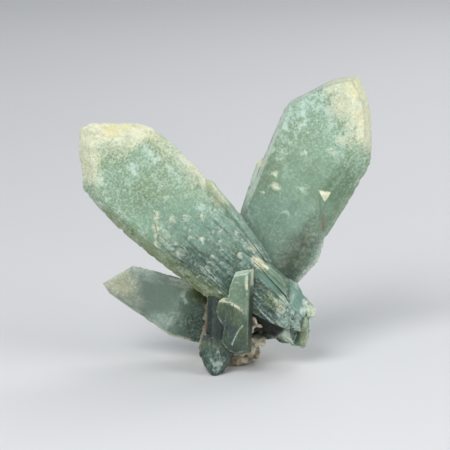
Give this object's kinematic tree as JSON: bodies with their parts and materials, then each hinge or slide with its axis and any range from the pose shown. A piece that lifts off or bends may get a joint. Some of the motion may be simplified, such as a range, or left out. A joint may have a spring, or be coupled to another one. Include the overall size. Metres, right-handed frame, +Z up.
{
  "type": "prase quartz specimen",
  "caption": "Natural cluster of green quartz blades crossing in a V above a broken base with a remnant of host rock; stands freely as a display specimen.",
  "frame": {"origin": "middle of the flat cut under the host rock, on which the specimen stands together with the foot of the base crystal", "axes": "+Z up, +X to the right as the broad faces are seen, -Y towards the viewer of the broad faces"},
  "size_m": [0.0881, 0.0459, 0.0844],
  "materials": {
    "prase": "satin, cloudy sage green with cream crusted tips",
    "host_rock": "rough, cream to rusty brown"
  },
  "bodies": {
    "root": {"crystal_cluster": "prase", "matrix": "host_rock"}
  },
  "joints": []
}
